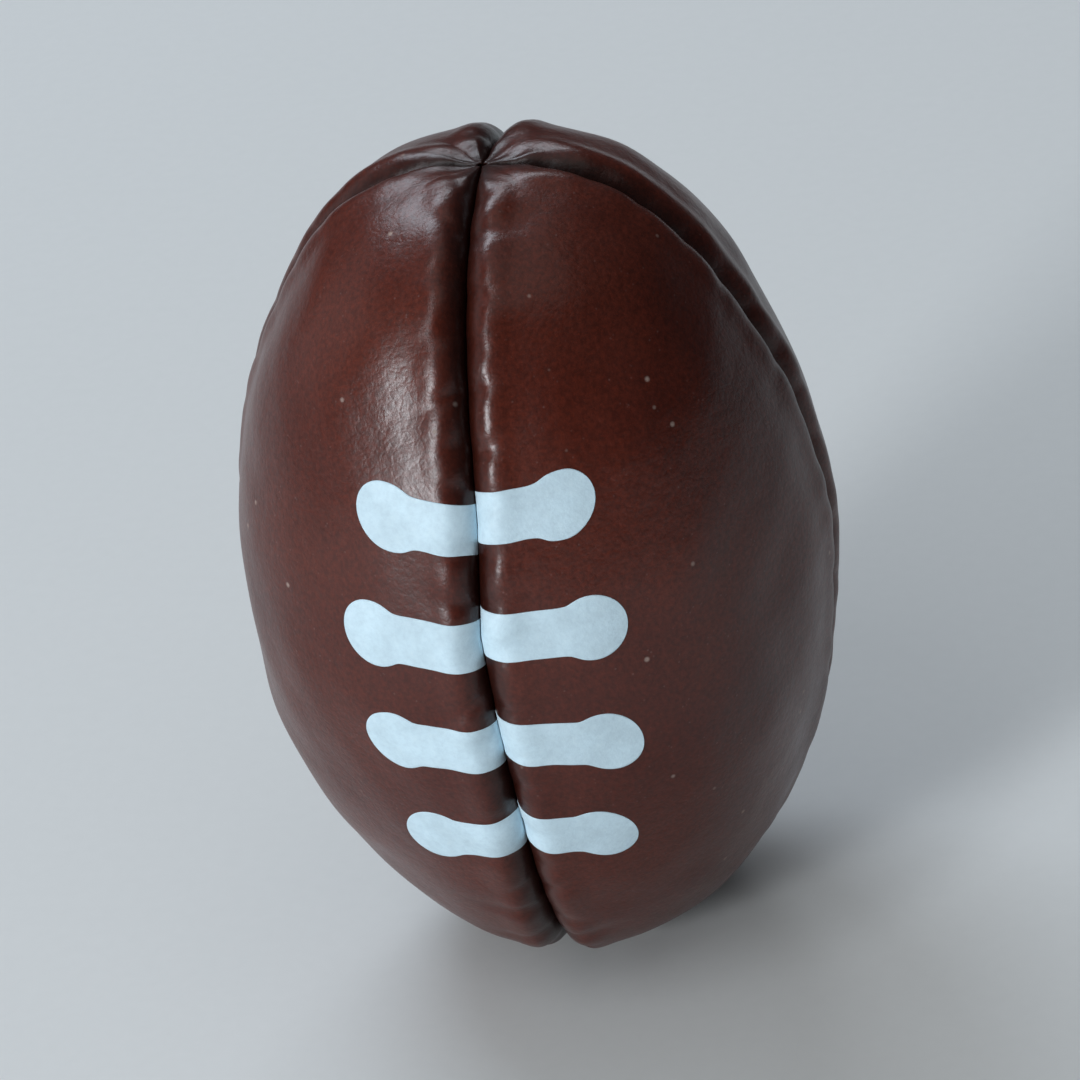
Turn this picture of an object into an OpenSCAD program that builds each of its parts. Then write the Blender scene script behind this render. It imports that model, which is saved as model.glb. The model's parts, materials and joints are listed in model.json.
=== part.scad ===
// Mini rugby ball: four sewn cover panels over a stuffed core.
// Long axis along Z, origin at the ball's centre, laced seam facing -Y.
// Each panel is a gore with its two long edges rolled inwards into a seam
// allowance; neighbouring allowances lie face to face and are lockstitched.

/* [Ball] */
// Length from tip to tip
ball_len = 58; // [54:1:70]
// Widest diameter, over the middle of a panel
ball_dia = 40; // [36:1:46]
// Fullness of the long profile (2 is an ellipse, lower is more pointed)
profile_p = 1.8; // [1.6:0.1:2.2]
// Bluntness of the tips (0.5 is an ellipse, lower is blunter)
profile_q = 0.42; // [0.38:0.02:0.54]
// How much flatter the ball is near a seam than at mid panel
bulge = 0.02; // [0:0.005:0.04]

/* [Cover] */
// Thickness of the coated-fabric skin
skin_t = 0.9; // [0.6:0.1:1]
// Depth of the groove along each seam
groove_depth = 1.5; // [1.1:0.1:2]
// Width of the rolled edge on each side of a seam
roll_w = 1.7; // [1.3:0.1:2.2]
// Width of the seam allowance that is turned inside
allowance = 3.2; // [2:0.1:4]

/* [Stitching] */
// Distance between needle holes
stitch_pitch = 3.5; // [3:0.1:5]
// Diameter of a needle hole
needle_hole_d = 0.96; // [0.9:0.02:1.1]
// Diameter of the sewing thread
thread_d = 0.28; // [0.2:0.02:0.3]
// Depth of the stitch line below the bottom of the groove
stitch_depth = 0.8; // [0.7:0.05:1.2]
// Number of hand stitches that close the stuffing opening
closing_stitches = 6; // [4:2:8]

/* [Lace print] */
// Number of lace marks across the front seam
lace_count = 4; // [3:1:5]
// Distance between lace marks along the seam
lace_pitch = 7.8; // [7.5:0.05:9]
// Shift of the lace group towards the top tip
lace_shift = 0.6; // [0:0.1:3]
// Width of a lace bar
bar_w = 3.4; // [2:0.1:4]
// Radius of the rounded end of a bar
bulb_r = 2.25; // [1.6:0.05:2.5]
// Height of the right halves above the row's middle and of the left halves below it
lace_step = 0.45; // [0:0.05:1]
// Thickness of the printed film
film_t = 0.12; // [0.08:0.01:0.2]

/* [Hidden] */

SKIN = [0.24, 0.12, 0.10];
THREAD = [0.13, 0.07, 0.06];
FILM = [0.90, 0.93, 0.95];
FIBRE = [0.93, 0.91, 0.86];

half_len = ball_len / 2;
half_dia = ball_dia / 2;
ply_gap = 0.02;                    // half the gap between two sewn plies
tip_angle = 89.3;                  // profile angle where the panels stop
ring_n = 26;                       // rings along a panel, less one
dome_n = 10;                       // facets across a panel's dome
roll_a = [0, 30, 60, 90];          // facets round a rolled edge
sew_angle = 76;                    // profile angle where the stitching stops
sides = 6;                         // sides of a thread

// ---- the ball's profile: a runs from -90 at the lower tip to 90 at the upper ----
function prof_z(a) = half_len * sign(a) * pow(abs(sin(a)), 2 / profile_p);
function prof_r(a) = half_dia * pow(max(cos(a), 1e-6), 2 * profile_q);

// ---- sizes that shrink where the panels narrow to their tips ----
function w_at(r) = min(roll_w, 0.30 * r);
function g_at(r) = min(groove_depth, 0.55 + 0.25 * r);
function t_at(r) = min(skin_t, 0.6 * g_at(r));           // thickness of the dome
function tu_at(r) = min(skin_t, 0.53 * w_at(r));         // thickness of the seam allowance
function al_at(r) = min(allowance, 0.8 + 0.3 * r);        // width of the seam allowance
function dome_r(r, psi) = r * (1 - bulge * pow(sin(2 * psi), 2));
function seam_r(r) = dome_r(r, 45);
// distance from the axis, in the seam plane, where a rolled edge meets the dome
function top_v(r) = sqrt(pow(seam_r(r), 2) - pow(w_at(r), 2));
function unit(v) = v / norm(v);
// outward normal of the profile, as [away from the axis, along it]
function prof_n(a) = let (t = unit([prof_r(a + 0.5) - prof_r(a - 0.5), prof_z(a + 0.5) - prof_z(a - 0.5)])) [t[1], -t[0]];
// point in the seam plane, a depth below the rolled edges' top
function sunk(a, depth) = [top_v(prof_r(a)), prof_z(a)] - depth * prof_n(a);

// ---- a panel's cross-section in its own frame, mid panel along +X ----
// u is the distance from the seam plane
function uv(a, u, depth, side) = let (p = sunk(a, depth))
    [p[0] * cos(45) + u * sin(45), side * (p[0] * sin(45) - u * cos(45)), p[1]];
function outer_side(a, side) = let (r = prof_r(a), g = g_at(r)) concat(
    [uv(a, ply_gap, g + al_at(r), side)],
    [for (f = roll_a) uv(a, max(ply_gap, w_at(r) * (1 - cos(f))), g * (1 - sin(f)), side)]);
function inner_side(a, side) = let (r = prof_r(a), g = g_at(r), t = t_at(r), tu = ply_gap + tu_at(r)) concat(
    [uv(a, tu, g + al_at(r), side)],
    [for (f = roll_a) uv(a, max(tu, w_at(r) - (w_at(r) - tu) * cos(f)), g - (g - t) * sin(f), side)]);
function psi_edge(r) = 45 - asin(w_at(r) / seam_r(r));
function dome(a, depth) = let (r = prof_r(a), n = prof_n(a)) [for (i = [1 : dome_n - 1])
    let (p = psi_edge(r) * (2 * i / dome_n - 1), d = dome_r(r, p) - depth * n[0])
    [d * cos(p), d * sin(p), prof_z(a) - depth * n[1]]];
function rev(v) = [for (i = [len(v) - 1 : -1 : 0]) v[i]];
function panel_section(a) = concat(
    outer_side(a, -1), dome(a, 0), rev(outer_side(a, 1)),
    inner_side(a, 1), rev(dome(a, t_at(prof_r(a)))), rev(inner_side(a, -1)));

// ---- a solid skinned through closed loops with the same number of points ----
function flat(v) = [for (row = v) for (p = row) p];
function skin_sides(n, m) = flat([for (i = [0 : n - 2]) for (j = [0 : m - 1]) let (k = (j + 1) % m)
    [[i * m + j, (i + 1) * m + j, i * m + k], [i * m + k, (i + 1) * m + j, (i + 1) * m + k]]]);
// end of a band-shaped loop, closed by a strip between its two long sides
function band_cap(m, o, flip) = flat([for (j = [0 : m / 2 - 2])
    let (q = [o + j, o + j + 1, o + m - 2 - j, o + m - 1 - j])
    flip ? [[q[0], q[2], q[1]], [q[0], q[3], q[2]]] : [[q[0], q[1], q[2]], [q[0], q[2], q[3]]]]);
module skinned(rows) {
    n = len(rows);
    m = len(rows[0]);
    polyhedron(flat(rows), concat([[for (j = [0 : m - 1]) j]], [[for (j = [m - 1 : -1 : 0]) (n - 1) * m + j]],
        skin_sides(n, m)), convexity = 8);
}
module skinned_band(rows) {
    n = len(rows);
    m = len(rows[0]);
    polyhedron(flat(rows), concat(band_cap(m, 0, false), band_cap(m, (n - 1) * m, true), skin_sides(n, m)),
        convexity = 8);
}

// ---- the stitch line of a seam, in its plane, by distance along it ----
function line_p(a) = sunk(a, g_at(prof_r(a)) + stitch_depth);
line_table = [for (a = [-sew_angle : 2 : sew_angle]) [a, line_p(a)[1], line_p(a)[0]]];
function steps(t) = [for (i = [1 : len(t) - 1]) norm([t[i][1] - t[i - 1][1], t[i][2] - t[i - 1][2]])];
function sums(v, i = 0, s = 0) = i > len(v) ? [] : concat([s], sums(v, i + 1, s + (i < len(v) ? v[i] : 0)));
line_sum = sums(steps(line_table));
line_mid = line_sum[(len(line_table) - 1) / 2];
line_z = [for (i = [0 : len(line_table) - 1]) [line_sum[i] - line_mid, line_table[i][1]]];
line_r = [for (i = [0 : len(line_table) - 1]) [line_sum[i] - line_mid, line_table[i][2]]];
stitch_n = 2 * floor((line_sum[len(line_sum) - 1] / 2 - 0.6) / stitch_pitch);
function hole_s(k) = (k - stitch_n / 2) * stitch_pitch;
// a point of the stitch line, and its direction there
function on_line(s) = [lookup(s, line_r), lookup(s, line_z)];
function line_t(s) = unit(on_line(s + 0.4) - on_line(s - 0.4));

// Frame of a seam at azimuth 0: X outwards, Y across the seam, Z along the ball
module needle_holes(azimuth) {
    rotate(azimuth)
        for (k = [0 : stitch_n])
            translate([on_line(hole_s(k))[0], 0, on_line(hole_s(k))[1]])
                rotate([90, 0, 0])
                    cylinder(d = needle_hole_d, h = 2 * (skin_t + 0.5), center = true, $fn = 24);
}

// ---- thread: a tube with mitred corners along a path of [distance, across] points ----
function path_dir(p, i) = unit([p[i + 1][0] - p[i][0], p[i + 1][1] - p[i][1]]);
function mitre(p, i) = let (
        a = path_dir(p, max(i - 1, 0)), b = path_dir(p, min(i, len(p) - 2)),
        n = [-a[1] - b[1], a[0] + b[0]])
    2 * n / (n * n);
function thread_ring(p, i) = let (
        rad = len(p[i]) > 2 ? p[i][2] : thread_d / 2,
        c = on_line(p[i][0]), t = line_t(p[i][0]), m = mitre(p, i) * rad)
    [for (j = [0 : sides - 1]) let (
            h = rad * cos(360 * j / sides), e = m * sin(360 * j / sides),
            q = c + e[0] * t + h * [t[1], -t[0]])
        [q[0], p[i][1] + e[1], q[1]]];
module thread(path) {
    skinned([for (i = [0 : len(path) - 1]) thread_ring(path, i)]);
}
face_u = ply_gap + skin_t + 0.04 + thread_d / 2;   // thread lying on a ply's inner face
leg = thread_d * 0.68;                             // half the spacing of the two legs in a hole
dip_u = thread_d / 2 + 0.02;                       // where needle and bobbin thread meet
function dip(s, side) = [[s - leg, side * face_u], [s - leg, side * dip_u], [s + leg, side * dip_u], [s + leg, side * face_u]];
function lock_path(k0, k1, side) = concat(
    [[hole_s(k0) - 1.0, side * face_u]],
    [for (k = [k0 : k1]) each dip(hole_s(k), side)],
    [[hole_s(k1) + 1.0, side * face_u]]);
// side 1 is the needle thread's side and -1 the bobbin thread's
module lock_thread(azimuth, side) {
    color(THREAD) rotate(azimuth) thread(lock_path(0, stitch_n, side));
}
// The back seam's machine stitching stops on both sides of the stuffing opening
open_k0 = stitch_n / 2 - closing_stitches / 2;
open_k1 = stitch_n / 2 + closing_stitches / 2;
module lock_thread_open(azimuth, side) {
    color(THREAD) rotate(azimuth) {
        thread(lock_path(0, open_k0 - 1, side));
        thread(lock_path(open_k1 + 1, stitch_n, side));
    }
}
// Hand-sewn ladder stitch: through both plies at each hole, then along one ply,
// with a knot at both ends
knot_r = 0.34;
knot_u = face_u + knot_r - thread_d / 2;
module ladder_thread(azimuth) {
    last = (open_k1 - open_k0) % 2 == 0 ? -1 : 1;
    color(THREAD) rotate(azimuth) thread(concat(
        [for (e = [[1.55, 0.16], [1.4, knot_r], [0.9, knot_r], [0.75, thread_d / 2]])
            [hole_s(open_k0) - e[0], knot_u, e[1]]],
        [[hole_s(open_k0) - 0.35, face_u]],
        [for (k = [open_k0 : open_k1]) let (s = (k - open_k0) % 2 == 0 ? 1 : -1)
            each [[hole_s(k), s * face_u], [hole_s(k), -s * face_u]]],
        [[hole_s(open_k1) + 0.35, last * face_u]],
        [for (e = [[0.75, thread_d / 2], [0.9, knot_r], [1.4, knot_r], [1.55, 0.16]])
            [hole_s(open_k1) + e[0], last * knot_u, e[1]]]));
}

// ---- a cover panel: a gore with both edges rolled in, and its needle holes ----
module panel(mid) {
    color(SKIN) difference() {
        rotate(mid) skinned_band([for (i = [0 : ring_n]) panel_section(tip_angle * (2 * i / ring_n - 1))]);
        needle_holes(mid - 45);
        needle_holes(mid + 45);
    }
}

// ---- the fibre filling: a lobe under each panel, a slot round each seam allowance ----
slot_w = ply_gap + skin_t + 0.85;   // half width of a slot, clear of the threads
fill_angle = 64;
fill_n = 20;
fill_a = [for (a = [-86 : 2 : 86]) a];
// distances from the axis, by height: seam allowance, groove, rolled edge and dome
edge_by_z = [for (a = fill_a) let (p = sunk(a, g_at(prof_r(a)) + al_at(prof_r(a)) + 0.35)) [p[1], p[0]]];
groove_by_z = [for (a = fill_a) let (p = sunk(a, g_at(prof_r(a)) + 0.15)) [p[1], p[0]]];
roll_by_z = [for (a = fill_a) let (p = sunk(a, t_at(prof_r(a)) + 0.35)) [p[1], p[0]]];
dome_by_z = [for (a = fill_a) let (p = [prof_r(a), prof_z(a)] - (t_at(prof_r(a)) + 0.15) * prof_n(a)) [p[1], p[0]]];
function in_lobe(z, u, v, side) = [v * cos(45) + u * sin(45), side * (v * sin(45) - u * cos(45)), z];
function lobe(z) = let (
        s = lookup(z, edge_by_z), k = lookup(z, groove_by_z), e = lookup(z, roll_by_z), d = lookup(z, dome_by_z),
        p0 = 45 - atan((w_at(d) + 0.2) / e))
    concat(
        [in_lobe(z, slot_w, s, -1), in_lobe(z, slot_w + 0.08, k, -1), in_lobe(z, w_at(d) + 0.25, e, -1)],
        [for (i = [1 : dome_n - 1]) let (p = p0 * (2 * i / dome_n - 1)) [dome_r(d, p) * cos(p), dome_r(d, p) * sin(p), z]],
        [in_lobe(z, w_at(d) + 0.25, e, 1), in_lobe(z, slot_w + 0.08, k, 1), in_lobe(z, slot_w, s, 1)]);
function turn(p, a) = [p[0] * cos(a) - p[1] * sin(a), p[0] * sin(a) + p[1] * cos(a), p[2]];
module filling() {
    color(FIBRE) skinned([for (i = [0 : fill_n]) let (z = prof_z(fill_angle * (2 * i / fill_n - 1)))
        [for (k = [0 : 3]) for (p = lobe(z)) turn(p, 90 * k + 45)]]);
}

// ---- printed lace marks ----
// Distance along the outer seam line to profile angle
seam_table = [for (a = [-84 : 2 : 84]) [a, prof_z(a), top_v(prof_r(a))]];
seam_sum = sums(steps(seam_table));
seam_a = [for (i = [0 : len(seam_table) - 1]) [seam_sum[i] - seam_sum[(len(seam_table) - 1) / 2], seam_table[i][0]]];
roll_len = PI / 4 * (roll_w + groove_depth);
// A point of the cover at distance s along the front seam and c across it, raised by h
function cover_point(s, c, h, side) = let (
        a = lookup(s, seam_a), r = prof_r(a), w = w_at(r), g = g_at(r), n = prof_n(a), f = min(c / roll_len, 1) * 90,
        b = asin(w / seam_r(r)) + (c - roll_len) / r * 180 / PI, d = dome_r(r, 45 - b) + h * n[0],
        p = c < roll_len ? sunk(a, g * (1 - sin(f)) - h * sin(f)) : [d * cos(b), prof_z(a) + h * n[1]],
        u = c < roll_len ? max(w * (1 - cos(f)) - h * cos(f), ply_gap) : d * sin(b))
    [side * u, -p[0], p[1]];
// Half width of a mark, c across from the seam: a bar that ends in a round bulb
function mark_half(c, len) = let (x = c - (len - bulb_r))
    x >= 0 ? sqrt(bulb_r * bulb_r - x * x)
    : x > -bulb_r ? max(bar_w / 2, sqrt(bulb_r * bulb_r - x * x)) : bar_w / 2;
mark_c0 = roll_len * 0.35;
mark_n = 15;
mark_m = 4;
function mark_row(s, tilt, len, side, i) = let (
        c = i <= 9 ? mark_c0 + (len - bulb_r - mark_c0) * i / 9 : len - bulb_r + bulb_r * sin(83 * (i - 9) / (mark_n - 9)),
        hw = mark_half(c, len))
    concat(
        [for (j = [0 : mark_m]) cover_point(s + tan(tilt) * c + hw * (2 * j / mark_m - 1), c, film_t + 0.04, side)],
        [for (j = [mark_m : -1 : 0]) cover_point(s + tan(tilt) * c + hw * (2 * j / mark_m - 1), c, 0.04, side)]);
module lace_half(k, side, tilt, len) {
    s = lace_shift + lace_pitch * ((lace_count + 1) / 2 - k) + side * lace_step;
    rows = [for (i = [0 : mark_n]) mark_row(s, tilt, len, side, i)];
    color(FILM) if (k <= lace_count) skinned(side > 0 ? rows : rev(rows));
}

panel(-45);  // panel_front_right
panel(45);  // panel_back_right
panel(135);  // panel_back_left
panel(225);  // panel_front_left
lock_thread(-90, 1);  // front_seam_needle_thread
lock_thread(-90, -1);  // front_seam_bobbin_thread
lock_thread(0, 1);  // right_seam_needle_thread
lock_thread(0, -1);  // right_seam_bobbin_thread
lock_thread_open(90, 1);  // back_seam_needle_thread
lock_thread_open(90, -1);  // back_seam_bobbin_thread
lock_thread(180, 1);  // left_seam_needle_thread
lock_thread(180, -1);  // left_seam_bobbin_thread
ladder_thread(90);  // closing_stitch
filling();  // fibre_filling
lace_half(1, -1, 8.5, 8.8);  // lace_mark_1_left
lace_half(1, 1, 4, 9.15);  // lace_mark_1_right
lace_half(2, -1, 4.7, 10.7);  // lace_mark_2_left
lace_half(2, 1, -1.2, 10.5);  // lace_mark_2_right
lace_half(3, -1, 4, 10.2);  // lace_mark_3_left
lace_half(3, 1, -6.7, 10.4);  // lace_mark_3_right
lace_half(4, -1, -1.5, 9);  // lace_mark_4_left
lace_half(4, 1, -11.5, 8.8);  // lace_mark_4_right
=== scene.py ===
import json
import math

import bmesh
import bpy
import numpy as np
from mathutils import Matrix, Vector

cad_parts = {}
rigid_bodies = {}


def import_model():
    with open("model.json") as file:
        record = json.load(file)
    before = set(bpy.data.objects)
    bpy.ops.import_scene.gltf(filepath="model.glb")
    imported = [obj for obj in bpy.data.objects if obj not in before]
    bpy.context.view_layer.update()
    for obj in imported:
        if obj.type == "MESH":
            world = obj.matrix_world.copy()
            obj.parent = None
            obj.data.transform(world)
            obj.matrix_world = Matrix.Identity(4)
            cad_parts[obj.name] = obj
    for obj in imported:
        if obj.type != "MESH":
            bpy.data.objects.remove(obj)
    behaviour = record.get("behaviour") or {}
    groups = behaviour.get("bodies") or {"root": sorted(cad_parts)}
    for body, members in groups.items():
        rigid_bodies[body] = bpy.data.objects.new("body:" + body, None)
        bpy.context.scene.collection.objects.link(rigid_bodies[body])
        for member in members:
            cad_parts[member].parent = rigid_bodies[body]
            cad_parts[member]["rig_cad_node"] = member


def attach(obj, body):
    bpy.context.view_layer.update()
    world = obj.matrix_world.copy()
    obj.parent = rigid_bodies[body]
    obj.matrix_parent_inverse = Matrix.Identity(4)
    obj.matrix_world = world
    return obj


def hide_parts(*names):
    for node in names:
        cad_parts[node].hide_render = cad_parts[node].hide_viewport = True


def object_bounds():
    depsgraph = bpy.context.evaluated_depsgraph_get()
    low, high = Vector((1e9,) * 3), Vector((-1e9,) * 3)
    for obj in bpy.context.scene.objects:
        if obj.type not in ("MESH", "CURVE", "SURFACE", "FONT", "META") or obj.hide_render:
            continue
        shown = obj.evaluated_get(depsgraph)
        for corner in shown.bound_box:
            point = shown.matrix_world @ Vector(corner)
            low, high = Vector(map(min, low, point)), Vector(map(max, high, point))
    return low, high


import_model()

cad_lo, cad_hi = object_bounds()
cad_box = [list(map(float, cad_lo)), list(map(float, cad_hi))]

# ---------------------------------------------------------------- the ball's shape, in mm
# The same profile as part.scad: the long axis is Z, the laced seam faces -Y.
HALF_LEN, HALF_DIA, P, Q, BULGE = 29.0, 20.0, 1.8, 0.42, 0.02
SKIN_T, GROOVE, ROLL_W, ALLOW, GAP = 0.9, 1.7, 1.7, 3.2, 0.02
TIP = 89.6
PITCH = 3.5
SEAMS = {"front": -90.0, "right": 0.0, "back": 90.0, "left": 180.0}
SEAM_AZ = [-90.0, 0.0, 90.0, 180.0]
MM = 0.001


def rad(d):
    return np.radians(d)


def prof_r(a):
    return HALF_DIA * np.maximum(np.cos(rad(a)), 1e-6) ** (2 * Q)


def prof_z(a):
    s = np.sin(rad(a))
    return HALF_LEN * np.sign(s) * np.abs(s) ** (2 / P)


def prof_n(a):
    e = 0.35
    dr, dz = prof_r(a + e) - prof_r(a - e), prof_z(a + e) - prof_z(a - e)
    n = np.hypot(dr, dz)
    return dz / n, -dr / n


def w_at(r):
    return np.minimum(ROLL_W, 0.30 * r)


def g_at(r):
    return np.minimum(GROOVE, 0.55 + 0.25 * r)


def al_at(r):
    return np.minimum(ALLOW, 0.8 + 0.3 * r)


def t_at(r):
    return np.minimum(SKIN_T, 0.6 * g_at(r))


# distance along the seam by profile angle, 0 at the middle of the ball
_A = np.linspace(-89.9, 89.9, 3597)
_S = np.concatenate([[0], np.cumsum(np.hypot(np.diff(prof_r(_A)), np.diff(prof_z(_A))))])
_S -= np.interp(0.0, _A, _S)


def s_of(a):
    return np.interp(a, _A, _S)


def a_of(s):
    return np.interp(s, _S, _A)


# ---------------------------------------------------------------- smooth noise
def waves(p, wavelength, seed, count=22, spread=0.35):
    """Band-limited noise of unit strength: a sum of plane waves in fixed random directions."""
    rng = np.random.RandomState(seed)
    d = rng.normal(size=(count, 3))
    d /= np.linalg.norm(d, axis=1)[:, None]
    k = 2 * np.pi / (wavelength * (1 + spread * rng.uniform(-1, 1, count)))
    ph = rng.uniform(0, 2 * np.pi, count)
    out = np.zeros(p.shape[:-1])
    for i in range(count):
        out += np.sin(k[i] * (p @ d[i]) + ph[i])
    return out * math.sqrt(2.0 / count)


def line_noise(s, wavelength, seed, count=9):
    rng = np.random.RandomState(seed)
    out = np.zeros_like(s)
    for _ in range(count):
        out += np.sin(2 * np.pi * s / (wavelength * rng.uniform(0.7, 1.5)) + rng.uniform(0, 2 * np.pi))
    return out * math.sqrt(2.0 / count)


# Every stitch pulls the cover down a little, some of them into a longer fold
STITCH = {}
for j, az in enumerate(SEAM_AZ):
    for side in (-1, 1):
        rng = np.random.RandomState(100 + 10 * j + side)
        n = 21
        k = np.arange(n) - (n - 1) / 2
        STITCH[(j, side)] = dict(
            s=k * PITCH + rng.uniform(-0.35, 0.35, n) + 0.4 * side,
            amp=rng.uniform(0.26, 0.44, n) * (1.0 if j == 0 else 0.4),
            tilt=rng.uniform(-0.5, 0.5, n),
            width=rng.uniform(0.50, 0.80, n),
            reach=np.where(rng.uniform(size=n) < 0.3, rng.uniform(2.6, 3.8, n), rng.uniform(1.5, 2.2, n)),
        )


def pucker(j, side, s, c):
    st = STITCH[(j, side)]
    h = np.zeros_like(s)
    for s0, amp, tilt, width, reach in zip(st["s"], st["amp"], st["tilt"], st["width"], st["reach"]):
        x = (s - s0 - tilt * c) / (width * (1 + 0.15 * c))
        h -= amp * np.exp(-x * x) * np.exp(-((c / reach) ** 2))
    return h


def wander(j, s):
    """Sideways drift of a seam, in mm."""
    free = 0.08 * line_noise(s, 24.0, 300 + j) + 0.035 * line_noise(s, 6.0, 320 + j)
    if j == 0:      # the laced seam bows a little from mark to mark
        return 0.3 * free + np.interp(s, [-30, -20, -11.1, -3.3, 4.5, 12.3, 22, 30], [0.0, 0.15, 0.15, -0.08, -0.28, 0.26, 0.1, 0.0])
    if j == 1:
        return free + 0.6 * np.exp(-((s - 4) / 22.0) ** 2)
    return free


def cover(mid, a, t, side, sink=0.0, raw=False):
    """A point of the cover: t is the distance across it, starting at the bottom of the groove on
    that side of the panel, and sink carries on down the turned-in edge."""
    a, t, sink = np.broadcast_arrays(np.asarray(a, float), np.asarray(t, float), np.asarray(sink, float))
    j = int(round(((mid + 45 * side) - SEAM_AZ[0]) / 90.0)) % 4
    az0 = mid + 45.0 * side
    s = s_of(a)
    r, z = prof_r(a), prof_z(a)
    nr, nz = prof_n(a)
    w, g = w_at(r), g_at(r)
    roll = np.pi / 4 * (w + g)
    f = np.clip(t / roll, 0, 1) * np.pi / 2
    c = np.where(t < roll, w * (1 - np.cos(f)), w + (t - roll))
    depth = np.where(t < roll, g * (1 - np.sin(f)), 0.0) + sink
    ang = c / np.maximum(r, 1e-3)
    psi = np.pi / 4 - ang
    body = r * (1 - BULGE * np.sin(2 * psi) ** 2)
    tipness = np.exp(-((r / 3.2) ** 2))

    # shape above the nominal surface
    azr = rad(az0) - side * ang
    flat = np.stack([body * np.cos(azr), body * np.sin(azr), z], -1)
    h = 0.13 * waves(flat, 15.0, 7) + 0.035 * waves(flat, 6.0, 8)
    shown = np.clip((np.sin(f)) ** 0.7, 0, 1)
    edge = np.clip(r / 6.0, 0, 1)
    h = h + 0.24 * np.exp(-((c - 1.9) / 1.05) ** 2) * edge          # cover rides up beside the seam
    h = h + edge * pucker(j, side, s, c) * (0.35 + 0.65 * shown)
    # the tips: gathered folds that run into the pole, and a dimple where four tips meet
    near = np.exp(-((r - 3.0) / 2.6) ** 2)
    fold = np.sin(4 * np.pi * (c / np.maximum(r, 0.4)) * 0.85 + 1.1 * line_noise(s, 5.0, 40 + j) + 2.1 * j + side)
    h = h + 0.03 * near * fold * np.clip(c / 0.6, 0, 1)
    h = h + 0.06 * near * waves(flat, 3.4, 9)
    keep = np.exp(-(sink / 0.6) ** 2)
    h = h * (0.25 + 0.75 * shown) * keep - 0.8 * tipness
    depth = depth - h
    rho = np.maximum(body - depth * nr, 0.06 + 0.0 * r)
    zz = z - depth * nz
    # the seam wanders sideways, and the cover goes with it
    drift = wander(j, s) * edge * np.exp(-((c / 4.5) ** 2))
    x = rho * np.cos(ang)
    u = np.maximum(rho * np.sin(ang), GAP / 2)
    across = u * side * -1.0 + drift * np.clip(rho / 8.0, 0, 1)
    azs = rad(az0)
    return np.stack([x * np.cos(azs) - across * np.sin(azs), x * np.sin(azs) + across * np.cos(azs), zz], -1)


def normals(mid, a, t, side, sink=0.0):
    e = 0.04
    a, t, sink = np.broadcast_arrays(np.asarray(a, float), np.asarray(t, float), np.asarray(sink, float))
    da = cover(mid, a + 0.15, t, side, sink) - cover(mid, a - 0.15, t, side, sink)
    dt = cover(mid, a, t + e, side, sink) - cover(mid, a, np.maximum(t - e, 0), side, sink)
    n = np.cross(dt, da)
    n /= np.maximum(np.linalg.norm(n, axis=-1), 1e-12)[..., None]
    return n * (1 if side > 0 else -1)


# ---------------------------------------------------------------- mesh helpers
def make_object(name, verts, faces, smooth=True):
    me = bpy.data.meshes.new(name)
    me.from_pydata([tuple(v) for v in np.asarray(verts) * MM], [], [tuple(f) for f in faces])
    me.validate()
    me.update()
    bm = bmesh.new()
    bm.from_mesh(me)
    bmesh.ops.recalc_face_normals(bm, faces=bm.faces)
    bm.to_mesh(me)
    bm.free()
    if smooth:
        me.polygons.foreach_set("use_smooth", [True] * len(me.polygons))
    ob = bpy.data.objects.new(name, me)
    bpy.context.scene.collection.objects.link(ob)
    return ob


def zipper(p, q):
    """Triangles between two chains of vertex numbers whose ends correspond."""
    out, i, k = [], 0, 0
    while i < len(p) - 1 or k < len(q) - 1:
        if k == len(q) - 1 or (i < len(p) - 1 and (i + 1) / (len(p) - 1) <= (k + 1) / (len(q) - 1)):
            out.append((p[i], p[i + 1], q[k]))
            i += 1
        else:
            out.append((p[i], q[k + 1], q[k]))
            k += 1
    return out


ROWS = 260
ROLL_N, DOME_N, FLANGE_N = ((12, 34, 4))


def row_angles():
    # even steps along the seam, closer together at the tips
    u = np.linspace(-1, 1, ROWS)
    s_max = s_of(TIP)
    s = s_max * np.sign(u) * (1 - (1 - np.abs(u)) ** 1.12)
    return a_of(s)


def half_section(a, side, mid):
    """Outer points of one half of a panel at profile angle a, from the allowance's edge to mid panel."""
    r = prof_r(a)
    w, g = w_at(r), g_at(r)
    roll = np.pi / 4 * (w + g)
    full = r * np.pi / 4 - w + roll
    sink = al_at(r)[:, None] * np.linspace(1, 0, FLANGE_N + 1)[None, :-1]
    t_flange = np.zeros_like(sink)
    k = np.linspace(0, 1, ROLL_N + 1)[None, :]
    t_roll = roll[:, None] * k
    u = np.linspace(0, 1, DOME_N + 1)[None, 1:]
    t_dome = roll[:, None] + (full - roll)[:, None] * (0.45 * u + 0.55 * u * u)
    t = np.concatenate([t_flange, t_roll, t_dome], 1)
    s = np.concatenate([sink, np.zeros_like(t_roll), np.zeros_like(t_dome)], 1)
    return t, s


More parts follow.
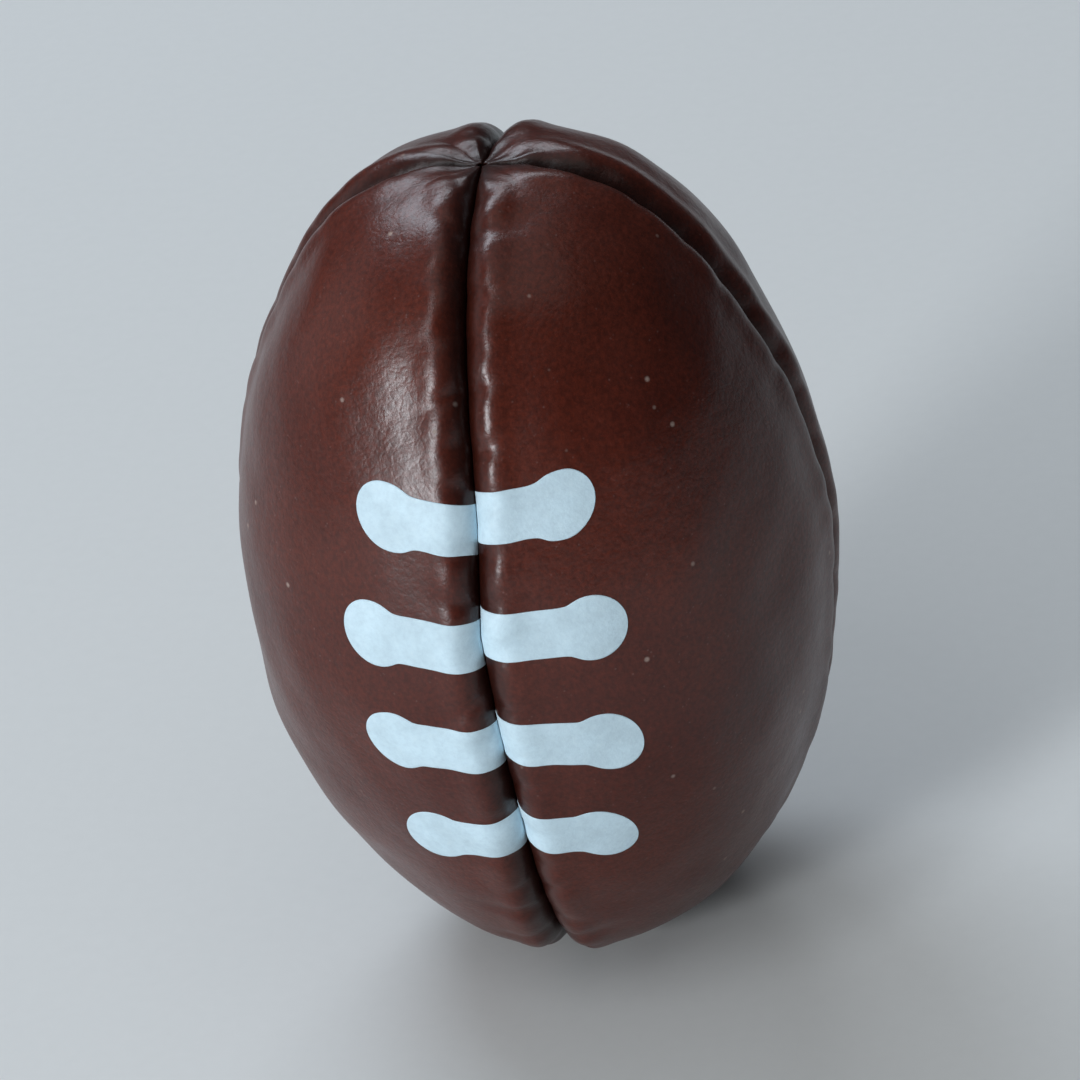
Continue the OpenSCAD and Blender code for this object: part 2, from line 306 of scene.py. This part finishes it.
def panel(name, mid, node):
    a = row_angles()
    aa = a[:, None]
    t, sink = half_section(a, 1, mid)
    left = cover(mid, aa, t, -1, sink)      # the panel's edge at mid - 45
    right = cover(mid, aa, t, 1, sink)      # the panel's edge at mid + 45
    middle = 0.5 * (left[:, -1] + right[:, -1])
    # the two halves meet smoothly at mid panel
    n_mid = t.shape[1]
    blend = np.clip((t - t[:, -1:] * 0.80) / (t[:, -1:] * 0.20), 0, 1)[..., None] ** 2
    left = left + blend * (middle - left[:, -1])[:, None, :]
    right = right + blend * (middle - right[:, -1])[:, None, :]
    outer = np.concatenate([left, right[:, ::-1][:, 1:]], 1)
    cols = outer.shape[1]
    # inner surface: fewer columns, a skin's thickness under the outer one
    pick = sorted(set([0, FLANGE_N - 1, FLANGE_N + 2, FLANGE_N + ROLL_N // 2, FLANGE_N + ROLL_N]
                      + list(range(FLANGE_N + ROLL_N + 3, n_mid, 5)) + [n_mid - 1]))
    pick = pick + [cols - 1 - i for i in reversed(pick[:-1])]
    g = np.gradient(outer, axis=0)
    h = np.gradient(outer, axis=1)
    nrm = np.cross(h, g)
    nrm /= np.maximum(np.linalg.norm(nrm, axis=-1), 1e-9)[..., None]
    if np.sum(nrm[ROWS // 2, cols // 2] * outer[ROWS // 2, cols // 2]) < 0:
        nrm = -nrm
    r = prof_r(a)
    thick = np.minimum(t_at(r), 0.25 * r + 0.05)[:, None, None]
    inner = (outer - nrm * thick)[:, pick]
    # keep the turned-in plies and the roll's inside on their own side of the seam plane
    tu = np.minimum(SKIN_T, 0.53 * w_at(r))
    for sgn, cut in ((-1, range(0, 4)), (1, range(len(pick) - 4, len(pick)))):
        az = rad(mid + 45.0 * sgn)
        axis_u = np.array([np.sin(az), -np.cos(az)]) * sgn
        for i in cut:
            o = outer[:, pick[i]]
            uo = o[:, 0] * axis_u[0] + o[:, 1] * axis_u[1]
            depth_dir = inner[:, i] - o
            ui = inner[:, i, 0] * axis_u[0] + inner[:, i, 1] * axis_u[1]
            need = np.maximum(uo + 0.0, GAP / 2) + tu - ui
            need = np.where(i in (0, 1) or i in (len(pick) - 1, len(pick) - 2), need, np.maximum(need * 0.0, GAP / 2 + tu * 0.6 - ui))
            inner[:, i, 0] += axis_u[0] * np.maximum(need, 0)
            inner[:, i, 1] += axis_u[1] * np.maximum(need, 0)
    icols = inner.shape[1]
    verts = np.concatenate([outer.reshape(-1, 3), inner.reshape(-1, 3)])
    base = ROWS * cols
    faces = []
    for i in range(ROWS - 1):
        for k in range(cols - 1):
            faces.append((i * cols + k, i * cols + k + 1, (i + 1) * cols + k + 1, (i + 1) * cols + k))
        for k in range(icols - 1):
            faces.append((base + i * icols + k, base + (i + 1) * icols + k, base + (i + 1) * icols + k + 1, base + i * icols + k + 1))
        faces.append((i * cols, (i + 1) * cols, base + (i + 1) * icols, base + i * icols))
        faces.append((i * cols + cols - 1, base + i * icols + icols - 1, base + (i + 1) * icols + icols - 1, (i + 1) * cols + cols - 1))
    for i in (0, ROWS - 1):
        faces += zipper([i * cols + k for k in range(cols)], [base + i * icols + k for k in range(icols)])
    ob = make_object(name, verts, faces)
    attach(ob, "root")
    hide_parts(node)
    return ob


# ---------------------------------------------------------------- lace marks
LACE_PITCH, LACE_SHIFT, BAR_W, BULB_R, FILM_T = 7.8, 0.6, 3.4, 2.25, 0.12
MARKS = {  # mark: (left length, left slope, right length, right slope), mm and degrees
    1: (8.8, 8.5, 9.15, 4),
    2: (10.7, 4.7, 10.5, -1.2),
    3: (10.2, 4, 10.4, -6.7),
    4: (9.0, -1.5, 8.8, -11.5),
}
HALF_STEP = 0.45


def mark_half_width(x, length):
    """Half width of a mark, x across from the seam: a bar that swells into a round end."""
    e = x - (length - BULB_R)
    circle = np.sqrt(np.maximum(BULB_R ** 2 - e ** 2, 0))
    bar = BAR_W / 2
    d = circle - bar
    soft = bar + 0.5 * (d + np.sqrt(d * d + 0.06))
    far = np.clip((-e - 2.2) / 2.5, 0, 1)
    return np.where(e > 0, circle, np.where(e > -0.8, circle + (soft - circle) * (-e / 0.8), soft * (1 - far) + bar * far))


def lace(k, side_name):
    side = 1 if side_name == "right" else -1
    len_l, tilt_l, len_r, tilt_r = MARKS[k]
    length, tilt = (len_r, tilt_r) if side > 0 else (len_l, tilt_l)
    mid = -45.0 if side > 0 else 225.0
    edge = -1 if side > 0 else 1            # the panel's edge that is the front seam
    s0 = LACE_SHIFT + LACE_PITCH * (2.5 - k) + side * HALF_STEP
    r0 = prof_r(a_of(s0))
    start = 0.3
    nu, nv = 64, 22
    body = np.linspace(start, length - BULB_R, 40, endpoint=False)
    cap = length - BULB_R + BULB_R * np.sin(np.radians(np.linspace(0, 88.5, nu - 40)))
    x = np.concatenate([body, cap])
    hw = mark_half_width(x, length)
    hw = np.maximum(hw, 0.03)
    v = np.linspace(-1, 1, nv)
    v = np.sign(v) * (1 - (1 - np.abs(v)) ** 1.35)
    rough = 0.012 * line_noise(x, 2.5, 500 + 10 * k + side)
    ss = s0 + np.tan(rad(tilt)) * x[:, None] + (hw + rough * (hw > 0.5))[:, None] * v[None, :]
    tt = np.broadcast_to(x[:, None], ss.shape)
    aa = a_of(ss)
    p = cover(mid, aa, tt, edge)
    n = normals(mid, aa, tt, edge)
    # rounded rim
    rim = np.minimum((1 - np.abs(v))[None, :] * hw[:, None] / 0.10, 1)
    rim = np.minimum(rim, np.clip((x[:, None] - start) / 0.12, 0, 1))
    rim = np.minimum(rim, np.clip((x[-1] - x[:, None]) / 0.10, 0, 1))
    top = p + n * (0.055 + (FILM_T - 0.055) * np.sqrt(np.clip(rim, 0, 1)))[..., None]
    low = p - n * 0.03
    verts = np.concatenate([top.reshape(-1, 3), low.reshape(-1, 3)])
    m = nu * nv
    faces = []
    for i in range(nu - 1):
        for q in range(nv - 1):
            a0 = i * nv + q
            faces.append((a0, a0 + 1, a0 + nv + 1, a0 + nv))
            faces.append((m + a0, m + a0 + nv, m + a0 + nv + 1, m + a0 + 1))
        for q in (0, nv - 1):
            a0 = i * nv + q
            faces.append((a0, a0 + nv, m + a0 + nv, m + a0))
    for i in (0, nu - 1):
        for q in range(nv - 1):
            a0 = i * nv + q
            faces.append((a0, a0 + 1, m + a0 + 1, m + a0))
    ob = make_object(f"lace_print_{k}_{side_name}", verts, faces)
    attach(ob, "root")
    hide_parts(f"lace_mark_{k}_{side_name}")
    return ob


# ---------------------------------------------------------------- materials
def new_material(name):
    m = bpy.data.materials.new(name)
    m.use_nodes = True
    nt = m.node_tree
    for n in list(nt.nodes):
        nt.nodes.remove(n)
    out = nt.nodes.new("ShaderNodeOutputMaterial")
    bsdf = nt.nodes.new("ShaderNodeBsdfPrincipled")
    nt.links.new(bsdf.outputs[0], out.inputs[0])
    return m, nt, bsdf


def node(nt, kind, **values):
    n = nt.nodes.new(kind)
    for k, v in values.items():
        if hasattr(n, k) and not k[0].isupper():
            setattr(n, k, v)
        else:
            n.inputs[k.replace("_", " ")].default_value = v
    return n


def ramp(nt, src, stops):
    n = nt.nodes.new("ShaderNodeValToRGB")
    e = n.color_ramp.elements
    while len(e) > len(stops):
        e.remove(e[-1])
    while len(e) < len(stops):
        e.new(1.0)
    for el, (pos, col) in zip(e, stops):
        el.position = pos
        el.color = (*col, 1) if len(col) == 3 else col
    nt.links.new(src, n.inputs[0])
    return n.outputs[0]


def grey(v):
    return (v, v, v)


def mix_rgb(nt, kind, fac, a, b):
    n = nt.nodes.new("ShaderNodeMix")
    n.data_type = "RGBA"
    n.blend_type = kind
    for sock, val in ((n.inputs[0], fac), (n.inputs[6], a), (n.inputs[7], b)):
        if hasattr(val, "is_output"):
            nt.links.new(val, sock)
        else:
            sock.default_value = val
    return n.outputs[2]


def math_node(nt, op, a, b=0.0):
    n = nt.nodes.new("ShaderNodeMath")
    n.operation = op
    for sock, val in zip(n.inputs, (a, b)):
        if hasattr(val, "is_output"):
            nt.links.new(val, sock)
        else:
            sock.default_value = val
    return n.outputs[0]


def bump(nt, height, strength, distance, normal=None):
    n = node(nt, "ShaderNodeBump")
    n.inputs["Strength"].default_value = strength
    n.inputs["Distance"].default_value = distance
    nt.links.new(height, n.inputs["Height"])
    if normal is not None:
        nt.links.new(normal, n.inputs["Normal"])
    return n.outputs[0]


def coords(nt, scale):
    tc = nt.nodes.new("ShaderNodeTexCoord")
    mp = nt.nodes.new("ShaderNodeMapping")
    mp.inputs["Scale"].default_value = (scale, scale, scale)
    nt.links.new(tc.outputs["Object"], mp.inputs[0])
    return mp.outputs[0]


def skin_material():
    m, nt, bsdf = new_material("brown_coated_skin")
    co = coords(nt, 1000.0)                     # millimetres
    def noise(scale, detail=2.0, rough=0.5, distortion=0.0):
        n = nt.nodes.new("ShaderNodeTexNoise")
        nt.links.new(co, n.inputs["Vector"])
        n.inputs["Scale"].default_value = scale
        n.inputs["Detail"].default_value = detail
        n.inputs["Roughness"].default_value = rough
        n.inputs["Distortion"].default_value = distortion
        return n.outputs["Fac"]
    def cells(scale, feature="F1"):
        n = nt.nodes.new("ShaderNodeTexVoronoi")
        n.feature = feature
        nt.links.new(co, n.inputs["Vector"])
        n.inputs["Scale"].default_value = scale
        return n
    # broad tone, fine mottling and tiny pale specks
    broad = ramp(nt, noise(0.085, 3.0, 0.55), [(0.30, (0.064, 0.0092, 0.0042)), (0.72, (0.090, 0.0155, 0.0074))])
    mottle = ramp(nt, noise(3.2, 3.0, 0.65), [(0.35, grey(0.72)), (0.68, grey(1.28))])
    base = mix_rgb(nt, "MULTIPLY", 1.0, broad, mottle)
    speck_v = cells(2.6)
    speck = ramp(nt, speck_v.outputs["Distance"], [(0.10, grey(1.0)), (0.24, grey(0.0))])
    pick = ramp(nt, noise(1.1, 2.0, 0.6), [(0.55, grey(0.0)), (0.66, grey(1.0))])
    fleck = math_node(nt, "MULTIPLY", speck, pick)
    base = mix_rgb(nt, "MIX", math_node(nt, "MULTIPLY", fleck, 0.35), base, (0.20, 0.115, 0.105, 1))
    dust_v = cells(0.33)
    dust = ramp(nt, dust_v.outputs["Distance"], [(0.030, grey(1.0)), (0.075, grey(0.0))])
    base = mix_rgb(nt, "MIX", math_node(nt, "MULTIPLY", dust, 0.55), base, (0.46, 0.36, 0.31, 1))
    # painted shade: darker down in the seams, where the planes x = 0 and y = 0 cut the ball, standing in for the
    # shadow inside the grooves
    sep = nt.nodes.new("ShaderNodeSeparateXYZ")
    nt.links.new(co, sep.inputs[0])
    near_seam = math_node(nt, "MINIMUM", math_node(nt, "ABSOLUTE", sep.outputs[0]), math_node(nt, "ABSOLUTE", sep.outputs[1]))
    # painted shade: the base colour drops to 0.30 within about a millimetre of a seam plane
    painted_groove_shade = ramp(nt, math_node(nt, "MULTIPLY", near_seam, 0.5), [(0.20, grey(0.30)), (0.85, grey(1.0))])
    base = mix_rgb(nt, "MULTIPLY", 1.0, base, painted_groove_shade)
    nt.links.new(base, bsdf.inputs["Base Color"])
    # gloss
    worn = ramp(nt, noise(0.22, 4.0, 0.6), [(0.32, grey(0.28)), (0.72, grey(0.36))])
    fine = ramp(nt, noise(4.5, 2.0, 0.5), [(0.3, grey(-0.03)), (0.7, grey(0.05))])
    rg = math_node(nt, "ADD", worn, fine)
    rg = math_node(nt, "ADD", rg, math_node(nt, "MULTIPLY", dust, 0.25))
    nt.links.new(rg, bsdf.inputs["Roughness"])
    bsdf.inputs["Specular IOR Level"].default_value = 0.44
    bsdf.inputs["Coat Weight"].default_value = 0.04
    bsdf.inputs["Coat Roughness"].default_value = 0.22
    # grain: a shallow pebble with finer creases, over soft dents
    peb = cells(1.7, "DISTANCE_TO_EDGE")
    peb_h = ramp(nt, peb.outputs["Distance"], [(0.0, grey(0.0)), (0.22, grey(1.0))])
    nrm = bump(nt, peb_h, 0.05, 0.00010)
    nrm = bump(nt, noise(5.5, 3.0, 0.6), 0.12, 0.00010, nrm)
    nrm = bump(nt, noise(0.9, 2.0, 0.5), 0.12, 0.00035, nrm)
    nt.links.new(nrm, bsdf.inputs["Normal"])
    nt.links.new(nrm, bsdf.inputs["Coat Normal"])
    return m


def lace_material():
    m, nt, bsdf = new_material("white_print_film")
    co = coords(nt, 1000.0)
    n1 = nt.nodes.new("ShaderNodeTexNoise")
    nt.links.new(co, n1.inputs["Vector"])
    n1.inputs["Scale"].default_value = 2.4
    n1.inputs["Detail"].default_value = 4.0
    n1.inputs["Roughness"].default_value = 0.7
    col = ramp(nt, n1.outputs["Fac"], [(0.30, (0.56, 0.72, 0.81)), (0.55, (0.62, 0.79, 0.88)), (0.75, (0.66, 0.82, 0.90))])
    n2 = nt.nodes.new("ShaderNodeTexNoise")
    nt.links.new(co, n2.inputs["Vector"])
    n2.inputs["Scale"].default_value = 0.5
    n2.inputs["Detail"].default_value = 2.0
    grime = ramp(nt, n2.outputs["Fac"], [(0.35, grey(0.90)), (0.65, grey(1.0))])
    col = mix_rgb(nt, "MULTIPLY", 1.0, col, grime)
    nt.links.new(col, bsdf.inputs["Base Color"])
    rg = ramp(nt, n1.outputs["Fac"], [(0.3, grey(0.62)), (0.7, grey(0.48))])
    nt.links.new(rg, bsdf.inputs["Roughness"])
    bsdf.inputs["Specular IOR Level"].default_value = 0.4
    n3 = nt.nodes.new("ShaderNodeTexNoise")
    nt.links.new(co, n3.inputs["Vector"])
    n3.inputs["Scale"].default_value = 5.0
    n3.inputs["Detail"].default_value = 2.0
    nrm = bump(nt, n3.outputs["Fac"], 0.18, 0.00010)
    nt.links.new(nrm, bsdf.inputs["Normal"])
    return m


def thread_material():
    m, nt, bsdf = new_material("sewing_thread")
    co = coords(nt, 1000.0)
    wv = nt.nodes.new("ShaderNodeTexWave")
    nt.links.new(co, wv.inputs["Vector"])
    wv.wave_type = "BANDS"
    wv.bands_direction = "DIAGONAL"
    wv.inputs["Scale"].default_value = 2.2
    wv.inputs["Distortion"].default_value = 1.5
    col = ramp(nt, wv.outputs["Fac"], [(0.2, (0.012, 0.006, 0.005)), (0.8, (0.045, 0.022, 0.018))])
    nt.links.new(col, bsdf.inputs["Base Color"])
    rg = ramp(nt, wv.outputs["Fac"], [(0.2, grey(0.75)), (0.8, grey(0.55))])
    nt.links.new(rg, bsdf.inputs["Roughness"])
    nt.links.new(bump(nt, wv.outputs["Fac"], 0.5, 0.00006), bsdf.inputs["Normal"])
    bsdf.inputs["Sheen Weight"].default_value = 0.3
    return m


def fibre_material():
    m, nt, bsdf = new_material("fibre_stuffing")
    co = coords(nt, 1000.0)
    n1 = nt.nodes.new("ShaderNodeTexNoise")
    nt.links.new(co, n1.inputs["Vector"])
    n1.inputs["Scale"].default_value = 1.3
    n1.inputs["Detail"].default_value = 8.0
    n1.inputs["Roughness"].default_value = 0.75
    n1.inputs["Distortion"].default_value = 2.5
    col = ramp(nt, n1.outputs["Fac"], [(0.3, (0.55, 0.52, 0.46)), (0.7, (0.88, 0.86, 0.81))])
    nt.links.new(col, bsdf.inputs["Base Color"])
    rg = ramp(nt, n1.outputs["Fac"], [(0.3, grey(0.95)), (0.7, grey(0.8))])
    nt.links.new(rg, bsdf.inputs["Roughness"])
    nt.links.new(bump(nt, n1.outputs["Fac"], 0.7, 0.0006), bsdf.inputs["Normal"])
    bsdf.inputs["Sheen Weight"].default_value = 0.4
    return m


SKIN, FILM, THREAD, FIBRE = skin_material(), lace_material(), thread_material(), fibre_material()

# ---------------------------------------------------------------- the pieces
PANELS = {"front_right": -45.0, "back_right": 45.0, "back_left": 135.0, "front_left": 225.0}
for pname, mid in PANELS.items():
    ob = panel(f"cover_{pname}", mid, f"panel_{pname}")
    ob.data.materials.append(SKIN)
for k in MARKS:
    for side_name in ("left", "right"):
        lace(k, side_name).data.materials.append(FILM)




def stuffing():
    """The stuffing: the cover's inside filled with one soft mass, its surface tufted."""
    a = a_of(np.linspace(-s_of(60.0), s_of(60.0), 90))
    az = np.linspace(-180.0, 180.0, 181)[:-1]
    rows = []
    for ai in a:
        r = prof_r(ai)
        q = np.abs((az + 45.0) % 90.0 - 45.0)              # degrees from the nearest seam
        c = rad(q) * r
        w, g, al = w_at(r), g_at(r), al_at(r)
        seam_dip = (g + 0.65 * al) * np.exp(-((c / (w + 0.5)) ** 2))
        rows.append(r * (1 - BULGE * np.cos(rad(2 * az)) ** 2) - 1.6 - seam_dip)
    rr = np.maximum(np.array(rows), 0.3)
    zz = prof_z(a)[:, None] - np.sign(prof_z(a))[:, None] * 0.9 * (np.abs(prof_n(a)[1]))[:, None]
    p = np.stack([rr * np.cos(rad(az)), rr * np.sin(rad(az)), np.broadcast_to(zz, rr.shape)], -1)
    lift = 0.10 * waves(p, 3.0, 61) + 0.07 * waves(p, 1.4, 62)
    k = 1 + np.minimum(lift, 0.12) / np.maximum(rr, 2.0)
    p = p * k[..., None]
    n, m = rr.shape
    verts = np.concatenate([p.reshape(-1, 3), [[0, 0, zz[0, 0]], [0, 0, zz[-1, 0]]]])
    faces = []
    for i in range(n - 1):
        for q in range(m):
            q2 = (q + 1) % m
            faces.append((i * m + q, i * m + q2, (i + 1) * m + q2, (i + 1) * m + q))
    for q in range(m):
        q2 = (q + 1) % m
        faces.append((n * m, q2, q))
        faces.append((n * m + 1, (n - 1) * m + q, (n - 1) * m + q2))
    ob = make_object("fibre_stuffing", verts, faces)
    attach(ob, "root")
    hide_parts("fibre_filling")
    return ob


stuffing().data.materials.append(FIBRE)
for o in list(bpy.data.objects):
    n = o.name
    if o.type != "MESH" or "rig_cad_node" not in o:
        continue
    if "thread" in n or "closing_stitch" in n:
        o.data.materials.clear()
        o.data.materials.append(THREAD)
    if "fibre_filling" in n:
        o.data.materials.clear()
        o.data.materials.append(FIBRE)

# ---------------------------------------------------------------- floor, light and camera
floor_me = bpy.data.meshes.new("floor")
floor_me.from_pydata([(-3, -3, 0), (3, -3, 0), (3, 3, 0), (-3, 3, 0)], [], [(0, 1, 2, 3)])
floor = bpy.data.objects.new("floor", floor_me)
floor.location = (0, 0, cad_box[0][2] - 0.0006)
bpy.context.scene.collection.objects.link(floor)
fm, fnt, fb = new_material("pale_floor")
fco = coords(fnt, 1.0)
fn = fnt.nodes.new("ShaderNodeTexNoise")
fnt.links.new(fco, fn.inputs["Vector"])
fn.inputs["Scale"].default_value = 900.0
fnt.links.new(ramp(fnt, fn.outputs["Fac"], [(0.3, (0.72, 0.73, 0.72)), (0.7, (0.73, 0.74, 0.73))]), fb.inputs["Base Color"])
fb.inputs["Roughness"].default_value = 0.9
fb.inputs["Specular IOR Level"].default_value = 0.1
floor_me.materials.append(fm)

world = bpy.data.worlds.new("studio") if bpy.context.scene.world is None else bpy.context.scene.world
bpy.context.scene.world = world
world.use_nodes = True
bg = world.node_tree.nodes.get("Background") or world.node_tree.nodes.new("ShaderNodeBackground")
bg.inputs[0].default_value = (0.80, 0.90, 1.0, 1)
bg.inputs[1].default_value = 0.045


def area(name, direction, distance, size, power, colour, size_y=None):
    d = Vector(direction).normalized()
    li = bpy.data.lights.new(name, "AREA")
    li.shape = "RECTANGLE"
    li.size = size
    li.size_y = size_y or size
    li.energy = power
    li.color = colour
    ob = bpy.data.objects.new(name, li)
    ob.location = d * distance
    ob.rotation_mode = "QUATERNION"
    ob.rotation_quaternion = d.to_track_quat("Z", "Y")
    bpy.context.scene.collection.objects.link(ob)
    return ob


def compass(azimuth, elevation):
    a, e = rad(azimuth), rad(elevation)
    return (math.cos(e) * math.cos(a), math.cos(e) * math.sin(a), math.sin(e))


area("window_low", compass(-121, 14), 0.60, 0.11, 2.2, (0.92, 0.96, 1.0), 0.14)
area("window_high", compass(-118, 48), 0.70, 0.10, 0.9, (0.90, 0.95, 1.0), 0.55)
area("sky_back", compass(130, 52), 0.80, 0.40, 2.6, (0.80, 0.89, 1.0), 0.24)
area("sky_right", compass(95, 46), 0.80, 0.20, 0.8, (0.85, 0.92, 1.0), 0.20)
area("side_left", compass(178, 20), 0.90, 0.60, 0.6, (0.90, 0.95, 1.0))
area("overhead", compass(-60, 76), 1.00, 0.9, 1.1, (1.0, 0.98, 0.95))

cam_data = bpy.data.cameras.new("camera")
cam = bpy.data.objects.new("camera", cam_data)
bpy.context.scene.collection.objects.link(cam)
EL, AZ, ROLL, DIST = rad(31.5), rad(13.8), rad(8.8), 0.350
view_dir = Vector((math.sin(AZ) * math.cos(EL), -math.cos(AZ) * math.cos(EL), math.sin(EL)))
right0 = Vector((math.cos(AZ), math.sin(AZ), 0))
up0 = view_dir.cross(right0)
up = up0 * math.cos(ROLL) + right0 * math.sin(ROLL)
right = up.cross(view_dir)
m = Matrix((right, up, view_dir)).transposed()
cam.matrix_world = Matrix.Translation(view_dir * DIST) @ m.to_4x4()
cam_data.lens = 176.0
cam_data.sensor_width = 36.0
cam_data.clip_start, cam_data.clip_end = 0.01, 20.0
cam_data.dof.use_dof = False
bpy.context.scene.camera = cam
bpy.context.scene.view_settings.view_transform = "Standard"
